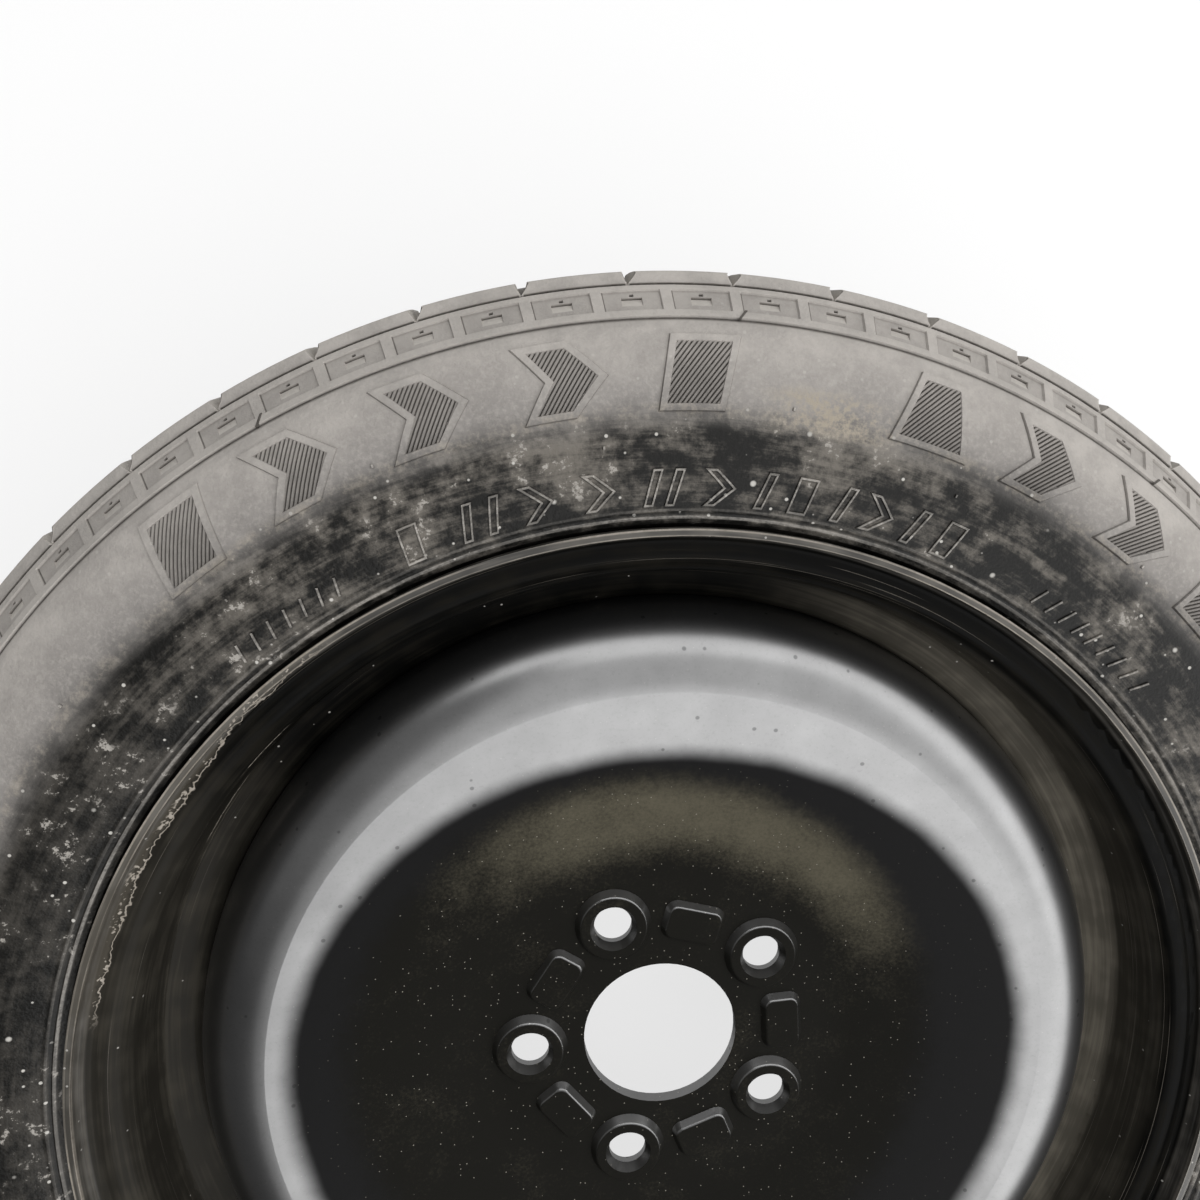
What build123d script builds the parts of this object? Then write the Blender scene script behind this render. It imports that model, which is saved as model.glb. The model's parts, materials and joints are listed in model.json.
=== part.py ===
from build123d import *
import os
from math import asin, atan2, cos, hypot, radians, sin, tan

# Space saver spare wheel, lying on its inboard side. Millimetres.
# The origin is the centre of the hub's mounting face. +Z is the wheel's axis, towards the outboard face.
# A sketch of a round piece holds its radius along x and its height along the axis along y.

# Rim, rolled from one steel strip
rim_diameter = 405.6
rim_width = 101.6
rim_wall = 2.6
flange_height = 14.2
flange_curl = 7.0
flange_lip = 3.0
bead_heel = 6.5
seat_taper = 5.0
seat_width = 24.0
well_depth = 16.0
well_slope = 30.0
well_round = 5.0

# Disc, pressed from one steel sheet
wheel_offset = 23.0
disc_wall = 4.0
bore_diameter = 63.4
hub_face_diameter = 148.0
hub_bend = 60.0
dome_height = 22.0
dome_bend = 25.0
skirt_length = 29.0
skirt_gap = 0.1

# Bolt holes, their bosses and the pads between them
bolt_circle = 108.0
bolt_count = 5
bolt_start = 112.2
bolt_hole = 15.4
seat_diameter = 19.0
seat_angle = 60.0
boss_diameter = 31.0
boss_height = 3.0
boss_taper = 35.0
relief_diameter = 24.0
relief_depth = 1.6
pad_circle = 102.0
pad_length = 25.0
pad_width = 17.0
pad_corner = 5.0
pad_height = 2.6
pad_taper = 35.0
press_round = 1.2

# Weld beads between the disc's skirt and the rim
weld_count = 8
weld_span = 26.0
weld_leg = 4.5
weld_crown = 0.6

# Tyre, one moulding
tyre_diameter = 613.0
section_width = 128.0
widest_diameter = 500.0
tread_width = 85.0
crown_drop = 3.3
block_side = 4.6
block_flare = 2.0
shoulder_drop = 11.6
shoulder_flare = 9.6
crown_wall = 12.0
sidewall_wall = 6.5
shoulder_wall = 13.0
bead_width = 17.0
bead_toe = 3.0
bead_gap = 0.15
bead_exit_angle = 60.0
bead_exit = 8.5

# Tread grooves and edge notches
groove_width = 7.0
groove_depth = 4.0
groove_spread = 27.0
notch_count = 52
notch_width = 3.6
notch_depth = 3.0
notch_start = 93.7

# Snap-in valve: rubber body and brass stem, heights from the rim's wall along the valve's axis
valve_hole = 11.4
foot_radius = 8.2
foot_tip_radius = 6.2
foot_height = 4.0
collar_radius = 7.8
collar_height = 2.6
neck_radius = 5.3
neck_height = 14.4
stem_radius = 4.1
stem_thread_radius = 3.85
stem_height = 23.0
stem_bore = 2.05
core_bore = 2.65
core_seat = 8.0
core_seat_rise = 1.5
fit_gap = 0.05

# Valve core, in the stem
plug_recess = 1.5
plug_length = 4.5
plug_bore = 0.9
plug_tongue = 2.8
tongue_height = 1.8
barrel_length = 11.5
barrel_neck = 1.5
gasket_seat = 0.4
pin_bore = 0.75
chamber_radius = 1.35
chamber_floor = 1.5
chamber_length = 7.2
pin_radius = 0.55
pin_head_radius = 0.8
pin_head_height = 0.6
pin_sink = 0.4
pin_collar_radius = 1.15
pin_collar_height = 0.6
pin_collar_gap = 0.3
cup_radius = 1.7
cup_wall = 0.3
cup_sink = 0.2
seal_height = 1.3
spring_wire = 0.17
spring_coils = 6

# Dust cap and its seal
cap_radius = 5.0
cap_thread_gap = 0.1
cap_skirt = 7.6
cap_roof = 1.4
cap_rounding = 0.8
cap_seal_height = 1.2
grip_count = 20
grip_radius = 0.45

# The rim's own radii and heights
bead_radius = rim_diameter / 2
flange_face = rim_width / 2
flange_radius = bead_radius + flange_height
well_radius = bead_radius - well_depth
seat_end = flange_face - seat_width
seat_end_radius = bead_radius - seat_width * tan(radians(seat_taper))
well_end = seat_end - (seat_end_radius - well_radius) * tan(radians(well_slope))
lip_end = flange_face + flange_curl + flange_lip

# The disc's own radii and heights
skirt_radius = well_radius - rim_wall - skirt_gap
hub_face_radius = hub_face_diameter / 2
dome_run = skirt_radius - dome_bend - hub_face_radius
dome_sink = disc_wall + dome_bend - dome_height
dome_slope = asin(dome_bend / hypot(dome_run, dome_sink)) - atan2(dome_sink, dome_run)
dome_corner = disc_wall + (skirt_radius - hub_face_radius) * tan(dome_slope)
skirt_end = dome_height - dome_bend - skirt_length
boss_top = disc_wall + boss_height
press_root = disc_wall / 2
boss_flare = press_root * tan(radians(boss_taper))
pad_flare = press_root * tan(radians(pad_taper))

# The tyre's own radii and heights
tyre_radius = tyre_diameter / 2
tread_half = tread_width / 2
edge_radius = tyre_radius - crown_drop
block_foot = (edge_radius - block_side, tread_half + block_flare)
shoulder_foot = (block_foot[0] - shoulder_drop, block_foot[1] + shoulder_flare)
widest = (widest_diameter / 2, section_width / 2)
bead_side = flange_face - bead_gap
bead_base = bead_radius + bead_gap
toe_height = bead_side - bead_width
toe_radius = bead_base - bead_width * tan(radians(seat_taper))
curl_start = flange_radius - flange_curl
curl_corner = curl_start + (flange_curl + bead_gap) * tan(radians(bead_exit_angle / 2))
bead_top = (
    curl_corner + bead_exit * cos(radians(bead_exit_angle)),
    bead_side + bead_exit * sin(radians(bead_exit_angle)),
)
inner_widest = (widest[0], widest[1] - sidewall_wall)
inner_bead = (bead_top[0] - bead_toe, toe_height + bead_width - sidewall_wall / 2)
inner_shoulder = (shoulder_foot[0] - bead_toe, shoulder_foot[1] - shoulder_wall / 2)
inner_crown = tyre_radius - crown_wall

# Planes: the section through the wheel's axis, from the rim's centre plane and from the mounting face
rim_section = Plane(origin=(0, 0, -wheel_offset), x_dir=(1, 0, 0), z_dir=(0, -1, 0))
hub_section = Plane.XZ

# The valve stands square on the outboard wall of the rim's well, at the low end of the outboard view
valve_in = sin(radians(well_slope))
valve_up = cos(radians(well_slope))
valve_seat = (
    0,
    rim_wall * valve_in - (seat_end_radius + well_radius) / 2,
    rim_wall * valve_up + (seat_end + well_end) / 2 - wheel_offset,
)
valve_axis = Axis(valve_seat, (0, valve_in, valve_up))
valve_section = Plane(origin=valve_seat, x_dir=(1, 0, 0), z_dir=(0, -valve_up, valve_in))
valve_square = Plane(origin=valve_seat, x_dir=(1, 0, 0), z_dir=(0, valve_in, valve_up))

# Heights along the valve's axis
foot_depth = rim_wall + foot_height
plug_top = stem_height - plug_recess
plug_bottom = plug_top - plug_length
seat_bottom = stem_height - core_seat
seat_top = seat_bottom + core_seat_rise
barrel_top = plug_bottom - fit_gap
barrel_bottom = plug_bottom - barrel_length
barrel_radius = stem_bore - 3 * fit_gap
neck_bottom = seat_bottom - gasket_seat
chamber_bottom = barrel_bottom + chamber_floor
chamber_top = chamber_bottom + chamber_length
pin_top = stem_height - pin_sink
pin_collar_top = chamber_top - pin_collar_gap
pin_collar_bottom = pin_collar_top - pin_collar_height
seal_top = barrel_bottom - fit_gap
seal_bottom = seal_top - seal_height
cup_bottom = seal_bottom - cup_wall
cap_seal_bottom = stem_height + fit_gap
cap_seal_top = cap_seal_bottom + cap_seal_height
cap_roof_bottom = cap_seal_top + fit_gap
cap_top = cap_roof_bottom + cap_roof
cap_foot = stem_height - cap_skirt
cap_bore = stem_thread_radius + cap_thread_gap

os.makedirs("parts", exist_ok=True)


def save(piece, name):
    """Label a finished piece and write it under the same name."""
    piece.part.label = name
    export_step(piece.part, f"parts/{name}.step")


# Rim: lip, flange, bead seat and well wall, and the same again on the inboard side
half_rim = [
    (flange_radius, lip_end),
    (flange_radius, flange_face),
    (bead_radius, flange_face),
    (seat_end_radius, seat_end),
    (well_radius, well_end),
]
rim_points = half_rim + [(radius, -height) for radius, height in reversed(half_rim)]
half_rounds = [flange_curl, bead_heel, well_round, well_round]
rim_rounds = half_rounds + half_rounds[::-1]

with BuildPart() as rim:
    with BuildSketch(rim_section):
        with BuildLine():
            FilletPolyline(*rim_points, radius=rim_rounds)
            offset(amount=rim_wall, side=Side.RIGHT)
        make_face()
    revolve(axis=Axis.Z)
    with BuildSketch(valve_square):
        Circle(valve_hole / 2)
    extrude(amount=well_depth, both=True, mode=Mode.SUBTRACT)
save(rim, "rim")

# Disc: hub face, dome and skirt, then the pressed bosses and pads, which start from the middle of the sheet
with BuildPart() as wheel_disc:
    with BuildSketch(hub_section):
        with BuildLine():
            FilletPolyline(
                (bore_diameter / 2, disc_wall),
                (hub_face_radius, disc_wall),
                (skirt_radius, dome_corner),
                (skirt_radius, skirt_end),
                radius=[hub_bend, dome_bend],
            )
            offset(amount=disc_wall, side=Side.RIGHT)
        make_face()
    revolve(axis=Axis.Z)
    with BuildSketch(Plane.XY.offset(disc_wall - press_root)):
        with PolarLocations(bolt_circle / 2, bolt_count, start_angle=bolt_start):
            Circle(boss_diameter / 2 + boss_flare)
    extrude(amount=press_root + boss_height, taper=boss_taper)
    with BuildSketch(Plane.XY.offset(disc_wall - press_root)):
        with PolarLocations(pad_circle / 2, bolt_count, start_angle=bolt_start + 180 / bolt_count):
            RectangleRounded(pad_width + 2 * pad_flare, pad_length + 2 * pad_flare, pad_corner + pad_flare)
    extrude(amount=press_root + pad_height, taper=pad_taper)
    pressed_faces = wheel_disc.faces().filter_by(Axis.Z).filter_by_position(
        Axis.Z, disc_wall + pad_height / 2, boss_top + boss_height
    )
    fillet(pressed_faces.edges(), press_round)
    with BuildSketch(Plane.XY):
        with PolarLocations(bolt_circle / 2, bolt_count, start_angle=bolt_start):
            Circle(relief_diameter / 2)
    extrude(amount=relief_depth, taper=boss_taper, mode=Mode.SUBTRACT)
    with Locations(Plane.XY.offset(boss_top)):
        with PolarLocations(bolt_circle / 2, bolt_count, start_angle=bolt_start):
            CounterSinkHole(bolt_hole / 2, seat_diameter / 2, counter_sink_angle=seat_angle)
save(wheel_disc, "wheel_disc")

# Weld beads: short fillets in the corner under the skirt's end
weld_outer = skirt_radius
weld_inner = skirt_radius - min(weld_leg, disc_wall)

with BuildPart() as weld_bead:
    with BuildSketch(hub_section):
        with BuildLine():
            Polyline((weld_inner, skirt_end), (weld_outer, skirt_end), (weld_outer, skirt_end - weld_leg))
            SagittaArc((weld_outer, skirt_end - weld_leg), (weld_inner, skirt_end), -weld_crown)
        make_face()
    revolve(axis=Axis.Z, revolution_arc=weld_span)

with BuildPart() as disc_welds:
    with PolarLocations(0, weld_count):
        add(weld_bead.part)
save(disc_welds, "disc_welds")

# One cutter for the notches from a groove out to the tread's edge, deeper towards the sidewall
notch_start_height = groove_spread / 2
notch_top = tyre_radius + notch_depth

with BuildPart() as edge_notch:
    with BuildSketch(rim_section):
        with BuildLine():
            Polyline(
                (tyre_radius - notch_depth, notch_start_height),
                (block_foot[0], block_foot[1] + block_flare),
                (notch_top, block_foot[1] + block_flare),
                (notch_top, notch_start_height),
                close=True,
            )
        make_face()
    extrude(amount=notch_width / 2, both=True)

with BuildPart() as inboard_notch:
    mirror(edge_notch.part, about=Plane.XY.offset(-wheel_offset))

with BuildPart() as notch_pair:
    add(edge_notch.part)
    add(inboard_notch.part, rotation=(0, 0, 180 / notch_count))

# Tyre: half its section from the crown to the bead and back along the inside, mirrored
with BuildPart() as tyre:
    with BuildSketch(rim_section):
        with BuildLine():
            TangentArc((tyre_radius, 0), (edge_radius, tread_half), tangent=(0, 1))
            Polyline((edge_radius, tread_half), block_foot, shoulder_foot)
            TangentArc(widest, shoulder_foot, tangent=(1, 0))
            TangentArc(widest, bead_top, tangent=(-1, 0))
            FilletPolyline(
                bead_top,
                (curl_corner, bead_side),
                (bead_base, bead_side),
                (toe_radius, toe_height),
                radius=[flange_curl + bead_gap, bead_heel - bead_gap],
            )
            Polyline((toe_radius, toe_height), (toe_radius + bead_toe, toe_height), inner_bead)
            TangentArc(inner_widest, inner_bead, tangent=(-1, 0))
            TangentArc(inner_widest, inner_shoulder, tangent=(1, 0))
            TangentArc((inner_crown, 0), inner_shoulder, tangent=(0, 1))
            Line((inner_crown, 0), (tyre_radius, 0))
        make_face()
        mirror(about=Plane.XZ)
    revolve(axis=Axis.Z)
    with BuildSketch(rim_section):
        with Locations((tyre_radius, groove_spread / 2), (tyre_radius, -groove_spread / 2)):
            Rectangle(2 * groove_depth, groove_width)
    revolve(axis=Axis.Z, mode=Mode.SUBTRACT)
    with PolarLocations(0, notch_count, start_angle=notch_start):
        add(notch_pair.part, mode=Mode.SUBTRACT)
save(tyre, "tyre")


def turned(points):
    """Turn a closed outline about the valve's axis, in the piece that is being built."""
    with BuildSketch(valve_section) as outline:
        with BuildLine():
            Polyline(*points, close=True)
        make_face()
    revolve(outline.sketch, axis=valve_axis)


# Valve body: foot in the tyre's air, collar and neck in the open, and a groove pressed by the rim's wall
with BuildPart() as valve_body:
    turned(
        [
            (stem_radius + fit_gap, -foot_depth),
            (foot_tip_radius, -foot_depth),
            (foot_radius, -rim_wall - foot_height / 4),
            (foot_radius, -rim_wall / 2),
            (collar_radius, -rim_wall / 2),
            (collar_radius, collar_height),
            (neck_radius, (collar_height + neck_height) / 2),
            (neck_radius, neck_height),
            (stem_radius + fit_gap, neck_height),
        ]
    )
    add(rim.part, mode=Mode.SUBTRACT)
save(valve_body, "valve_body")

# Valve stem: a brass tube with a seat for the core's gasket
with BuildPart() as valve_stem:
    turned(
        [
            (stem_bore, -foot_depth),
            (stem_radius, -foot_depth),
            (stem_radius, neck_height),
            (stem_thread_radius, neck_height),
            (stem_thread_radius, stem_height),
            (core_bore, stem_height),
            (core_bore, seat_top),
            (stem_bore, seat_bottom),
        ]
    )
save(valve_stem, "valve_stem")

# Valve core: threaded plug with a tongue for the key
with BuildPart() as core_plug:
    turned(
        [
            (plug_bore, plug_bottom),
            (core_bore - fit_gap, plug_bottom),
            (core_bore - fit_gap, plug_top),
            (plug_bore, plug_top),
        ]
    )
    with BuildSketch(valve_square.offset(plug_top)):
        Rectangle(2 * core_bore, 2 * core_bore)
        Rectangle(plug_tongue, 2 * core_bore, mode=Mode.SUBTRACT)
    extrude(amount=-tongue_height, mode=Mode.SUBTRACT)
save(core_plug, "core_plug")

# Barrel, with the spring's chamber
with BuildPart() as core_barrel:
    turned(
        [
            (pin_bore, barrel_bottom),
            (barrel_radius, barrel_bottom),
            (barrel_radius, neck_bottom),
            (barrel_neck, neck_bottom),
            (barrel_neck, barrel_top),
            (pin_bore, barrel_top),
            (pin_bore, chamber_top),
            (chamber_radius, chamber_top),
            (chamber_radius, chamber_bottom),
            (pin_bore, chamber_bottom),
        ]
    )
save(core_barrel, "core_barrel")

# Gasket ring, between the barrel's shoulder and the plug, on the stem's seat
with BuildPart() as core_gasket:
    turned(
        [
            (barrel_neck + fit_gap, neck_bottom),
            (stem_bore - fit_gap, neck_bottom),
            (stem_bore - fit_gap, seat_bottom),
            (core_bore - fit_gap, seat_top),
            (core_bore - fit_gap, barrel_top),
            (barrel_neck + fit_gap, barrel_top),
        ]
    )
save(core_gasket, "core_gasket")

# Pin, with its head, and the collar that the spring pushes
with BuildPart() as core_pin:
    turned(
        [
            (0, cup_bottom),
            (pin_radius, cup_bottom),
            (pin_radius, pin_collar_bottom),
            (pin_collar_radius, pin_collar_bottom),
            (pin_collar_radius, pin_collar_top),
            (pin_radius, pin_collar_top),
            (pin_radius, pin_top - pin_head_height),
            (pin_head_radius, pin_top - pin_head_height),
            (pin_head_radius, pin_top),
            (0, pin_top),
        ]
    )
save(core_pin, "core_pin")

# Cup on the pin's inner end, and the seal that closes on the barrel
with BuildPart() as pin_cup:
    turned(
        [
            (pin_radius + fit_gap, cup_bottom),
            (cup_radius, cup_bottom),
            (cup_radius, seal_top - cup_sink),
            (cup_radius - cup_wall, seal_top - cup_sink),
            (cup_radius - cup_wall, seal_bottom),
            (pin_radius + fit_gap, seal_bottom),
        ]
    )
save(pin_cup, "pin_cup")

with BuildPart() as cup_seal:
    turned(
        [
            (pin_radius + fit_gap, seal_bottom),
            (cup_radius - cup_wall - fit_gap, seal_bottom),
            (cup_radius - cup_wall - fit_gap, seal_top),
            (pin_radius + fit_gap, seal_top),
        ]
    )
save(cup_seal, "cup_seal")

# Spring, from the chamber's floor to the pin's collar
spring_radius = (pin_radius + chamber_radius) / 2
spring_height = pin_collar_bottom - chamber_bottom - 2 * (spring_wire + fit_gap)
spring_foot = valve_square.offset(chamber_bottom + spring_wire + fit_gap)

with BuildPart() as core_spring:
    with BuildLine():
        coil = Helix(
            spring_height / spring_coils,
            spring_height,
            spring_radius,
            center=spring_foot.origin,
            direction=spring_foot.z_dir,
        )
    with BuildSketch(Plane(origin=coil @ 0, z_dir=coil % 0)):
        Circle(spring_wire)
    sweep()
save(core_spring, "core_spring")

# Dust cap, with grip flutes, and its seal
with BuildPart() as valve_cap:
    turned(
        [
            (0, cap_roof_bottom),
            (cap_bore, cap_roof_bottom),
            (cap_bore, cap_foot),
            (cap_radius, cap_foot),
            (cap_radius, cap_top - cap_rounding),
            (cap_radius - cap_rounding, cap_top),
            (0, cap_top),
        ]
    )
    with BuildSketch(valve_square.offset(cap_foot)):
        with PolarLocations(cap_radius, grip_count):
            Circle(grip_radius)
    extrude(amount=cap_top - cap_foot, mode=Mode.SUBTRACT)
save(valve_cap, "valve_cap")

with BuildPart() as cap_seal:
    turned(
        [
            (0, cap_seal_bottom),
            (cap_bore - fit_gap, cap_seal_bottom),
            (cap_bore - fit_gap, cap_seal_top),
            (0, cap_seal_top),
        ]
    )
save(cap_seal, "cap_seal")
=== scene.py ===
# %% [markdown]
# A space saver spare wheel is a narrow tyre on a rolled steel rim, with a pressed steel disc welded
# inside it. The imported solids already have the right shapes, so they are loaded as a frame that
# never moves. The rim, the disc and the valve keep their solids and get finishes. The tyre gets a
# new skin, because its moulded marks are too fine for the solids. Modelling it all again would let
# looks and solids drift apart.

# %% Load the frame
import json
import math

import bpy
import numpy as np
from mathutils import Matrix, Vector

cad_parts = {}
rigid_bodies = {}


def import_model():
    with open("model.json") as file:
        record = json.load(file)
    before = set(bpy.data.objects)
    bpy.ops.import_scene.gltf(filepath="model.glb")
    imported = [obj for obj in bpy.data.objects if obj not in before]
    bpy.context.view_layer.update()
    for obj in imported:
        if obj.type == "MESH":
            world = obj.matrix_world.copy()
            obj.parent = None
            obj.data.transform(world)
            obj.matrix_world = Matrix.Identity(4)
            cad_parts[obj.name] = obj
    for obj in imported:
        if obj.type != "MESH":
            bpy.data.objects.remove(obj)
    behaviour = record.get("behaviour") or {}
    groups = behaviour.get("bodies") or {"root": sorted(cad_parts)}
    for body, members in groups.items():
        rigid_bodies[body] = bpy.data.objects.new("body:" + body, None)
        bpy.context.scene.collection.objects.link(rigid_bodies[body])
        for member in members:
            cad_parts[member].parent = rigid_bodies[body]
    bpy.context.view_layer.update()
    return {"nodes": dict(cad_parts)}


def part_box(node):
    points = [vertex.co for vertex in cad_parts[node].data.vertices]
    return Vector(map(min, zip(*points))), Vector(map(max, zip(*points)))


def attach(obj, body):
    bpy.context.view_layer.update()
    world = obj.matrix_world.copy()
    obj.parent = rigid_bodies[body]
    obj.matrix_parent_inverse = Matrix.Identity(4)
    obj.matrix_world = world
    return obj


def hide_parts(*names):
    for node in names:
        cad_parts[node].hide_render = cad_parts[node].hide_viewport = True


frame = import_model()
print("nodes:", ", ".join(sorted(frame["nodes"])))

# %% [markdown]
# Every size below comes from the frame or was measured in the photograph. The wheel lies flat with
# its axis along Z. It is easier to think of a tyre as a ring, so points are given by an angle, a
# radius and a height over the tyre's middle plane, in millimetres, and one function turns them into
# metres.

# %% Main sizes
mm = 0.001
tyre_low, tyre_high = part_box("tyre")
middle = (tyre_low.z + tyre_high.z) / 2
tyre_radius = tyre_high.x / mm
tyre_half_width = (tyre_high.z - tyre_low.z) / 2 / mm
rim_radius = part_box("rim")[1].x / mm
floor_height = tyre_low.z


def ring_point(angle, radius, height):
    """Points in metres; the angle is in radians, clockwise from +Y as seen from above."""
    angle, radius, height = np.broadcast_arrays(angle, radius, height)
    flat = np.stack([radius * np.sin(angle), radius * np.cos(angle), height], -1)
    return flat * mm + np.array([0, 0, middle])


print(f"tyre {2 * tyre_radius:.1f} mm across and {2 * tyre_half_width:.1f} mm wide")
print(f"rim {2 * rim_radius:.1f} mm across")

# %% [markdown]
# The photograph looks down on the upper part of the wheel from close by, so near parts look large.
# A wide lens at the same place gives the same perspective. Cropping moved the picture's middle, and
# a small vertical shift does the same here, where turning the camera would bend the ring's
# perspective.

# %% Camera
image_side = 1200
view_centre_row = 525
camera_data = bpy.data.cameras.new("camera")
camera_data.sensor_width = 36
camera_data.lens = 24
camera_data.shift_y = (view_centre_row - image_side / 2) / image_side
camera_data.clip_start = 0.01
camera = bpy.data.objects.new("camera", camera_data)
camera.location = (-0.0512, 0.2561, 0.2994)
camera.rotation_euler = [math.radians(turn) for turn in (-8.287, -4.485, 0.649)]
scene = bpy.context.scene
scene.collection.objects.link(camera)
scene.camera = camera
scene.view_settings.view_transform = "Standard"
print("camera at", [round(place, 3) for place in camera.location])

# %% [markdown]
# A finish is a node tree, and trees are long to write by hand. Two small classes keep them
# readable. One wraps an output socket, so that sums on sockets look like sums in Python. The other
# makes any node from its type, its settings and what goes into its sockets.

# %% Node helpers
class Value:
    """An output socket that takes part in Python sums."""

    def __init__(self, tree, socket):
        self.tree = tree
        self.socket = socket

    def __add__(self, other):
        return self.tree.sum("ADD", self, other)

    def __sub__(self, other):
        return self.tree.sum("SUBTRACT", self, other)

    def __rsub__(self, other):
        return self.tree.sum("SUBTRACT", other, self)

    def __mul__(self, other):
        return self.tree.sum("MULTIPLY", self, other)

    def __truediv__(self, other):
        return self.tree.sum("DIVIDE", self, other)

    def __or__(self, other):
        return self.tree.sum("MAXIMUM", self, other)

    __radd__ = __add__
    __rmul__ = __mul__


class Tree:
    """A node tree that is filled one node at a time."""

    def __init__(self, nodes):
        self.nodes = nodes

    def node(self, kind, settings=None, sockets=None, out=0):
        made = self.nodes.nodes.new(kind)
        for name, setting in (settings or {}).items():
            setattr(made, name, setting)
        self.feed(made, sockets or {})
        return Value(self, made.outputs[out])

    def feed(self, made, sockets):
        for name, content in sockets.items():
            if isinstance(content, Value):
                self.nodes.links.new(content.socket, made.inputs[name])
            else:
                made.inputs[name].default_value = content

    def sum(self, operation, first, second=0.0):
        """A Math node; operations on one value leave the second out."""
        return self.node("ShaderNodeMath", {"operation": operation}, {0: first, 1: second})


print("node helpers ready")

# %% [markdown]
# Surfaces on this wheel change with distance from the axis and along the ring: dust lies on the
# upper sidewall, smears run round it and chips sit on one stretch of the flange. UV maps could
# carry that, but they would need unwrapping. Coordinates worked out from the object's own position
# give the same and never stretch.

# %% Finish class
class Finish(Tree):
    """A Principled material with the coordinates that a wheel's finishes need."""

    mean_radius = 250

    def __init__(self, name, **constants):
        self.material = bpy.data.materials.new(name)
        self.material.use_nodes = True
        super().__init__(self.material.node_tree)
        self.shader = self.nodes.nodes["Principled BSDF"]
        self.wear(**constants)
        metres = self.node("ShaderNodeTexCoord", out="Object")
        self.place = self.vector("SCALE", metres, Scale=1 / mm)
        split = {0: self.place}
        self.x, self.y, self.z = [self.node("ShaderNodeSeparateXYZ", None, split, axis) for axis in "XYZ"]
        self.radius = self.sum("SQRT", self.x * self.x + self.y * self.y)
        self.height = self.z - middle / mm
        self.angle = self.sum("ARCTAN2", self.x, self.y) * (180 / math.pi)

    def vector(self, operation, *operands, out=0, **sockets):
        inputs = dict(enumerate(operands)) | sockets
        return self.node("ShaderNodeVectorMath", {"operation": operation}, inputs, out)

    def wear(self, **sockets):
        """Set or link the shader's sockets; a space in a socket's name is written as an underscore."""
        self.feed(self.shader, {socket.replace("_", " "): content for socket, content in sockets.items()})

    def ease(self, value, low, high):
        """0 at low, 1 at high and smooth between them."""
        sockets = {"Value": value, "From Min": low, "From Max": high}
        return self.node("ShaderNodeMapRange", {"interpolation_type": "SMOOTHSTEP"}, sockets)

    def near(self, value, centre, inner, outer):
        """1 where value is within inner of centre, 0 past outer."""
        return 1 - self.ease(self.sum("ABSOLUTE", value - centre), inner, outer)

    def blend(self, share, first, second):
        """first where share is 0, second where it is 1."""
        return self.node("ShaderNodeMix", {"data_type": "RGBA"}, {0: share, 6: first, 7: second}, 2)

    def noise(self, size, detail=3.0, roughness=0.55, place=None):
        """Cloudy noise of about that size in mm, from 0 to 1."""
        grain = {"Scale": 1 / size, "Detail": detail, "Roughness": roughness}
        return self.node("ShaderNodeTexNoise", None, {"Vector": place or self.place} | grain)

    def specks(self, size, radius, share):
        """Round spots of that radius in cells of that size, in a share of the cells."""
        cells = self.vector("SCALE", self.place, Scale=1 / size)
        cell = self.vector("FLOOR", cells)
        pick = self.node("ShaderNodeTexWhiteNoise", None, {"Vector": cell})
        scatter = self.node("ShaderNodeTexWhiteNoise", None, {"Vector": cell}, "Color")
        centre = self.vector("MULTIPLY_ADD", scatter, (0.6, 0.6, 0.6), (0.2, 0.2, 0.2))
        inside = self.vector("FRACTION", cells)
        distance = self.vector("DISTANCE", inside, centre, out="Value")
        return self.sum("LESS_THAN", pick, share) * (1 - self.ease(distance * size, radius * 0.6, radius))

    def streaks(self, along, across):
        """Coordinates for noise that is long round the ring and short across it."""
        step_out = (self.radius + self.height) / across
        lengths = self.mean_radius / along
        round_x = self.x / self.radius * lengths + step_out * 0.31
        round_y = self.y / self.radius * lengths + step_out * 0.17
        return self.node("ShaderNodeCombineXYZ", None, {0: round_x, 1: round_y, 2: step_out})

    def bump(self, height_mm):
        """A normal for a fine relief whose height is given in mm."""
        return self.node("ShaderNodeBump", None, {"Strength": 1.0, "Distance": mm, "Height": height_mm})


print("finish class ready")

# %% [markdown]
# The steel is glossy black, so what it shows is mostly the lights. Traced back from the
# photograph's dome, they form one ceiling: a bright far part, a bright right side, a dimmer middle,
# a dark left and a bright near part behind the camera. Six large soft boxes side by side give that.
# One picture of a room could light the scene too, but boxes are easy to move.

# %% Soft boxes
ceiling_height = 4.0


def soft_box(name, left, right, near, far, brightness):
    """A lamp in the ceiling between those edges in metres; it faces down."""
    lamp = bpy.data.lights.new(name, "AREA")
    lamp.shape = "RECTANGLE"
    lamp.size, lamp.size_y = right - left, far - near
    lamp.energy = brightness * math.pi * lamp.size * lamp.size_y
    holder = bpy.data.objects.new(name, lamp)
    holder.location = ((left + right) / 2, (near + far) / 2, ceiling_height)
    holder.visible_camera = False
    scene.collection.objects.link(holder)
    print(f"{name}: {lamp.size:.1f} by {lamp.size_y:.1f} m, {lamp.energy:.0f} W")


soft_box("far_box", -1.0, 8.6, 2.0, 6.2, 2.3)
soft_box("far_left_box", -3.6, -1.0, 3.3, 6.2, 2.3)
soft_box("right_box", 3.6, 8.6, -2.7, 2.0, 2.7)
soft_box("middle_box", -1.0, 3.6, -2.7, 2.0, 1.25)
soft_box("left_box", -5.6, -1.0, -2.1, 3.3, 0.24)
soft_box("near_box", -0.1, 8.6, -7.0, -2.7, 2.6)

# %% [markdown]
# The room is white to the camera, as in the photograph, but gives little light, so that the soft
# boxes shape the wheel. Light Path tells which rays come from the camera or from a mirror. A bright
# room would be simpler, but it would flatten every shadow.

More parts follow.
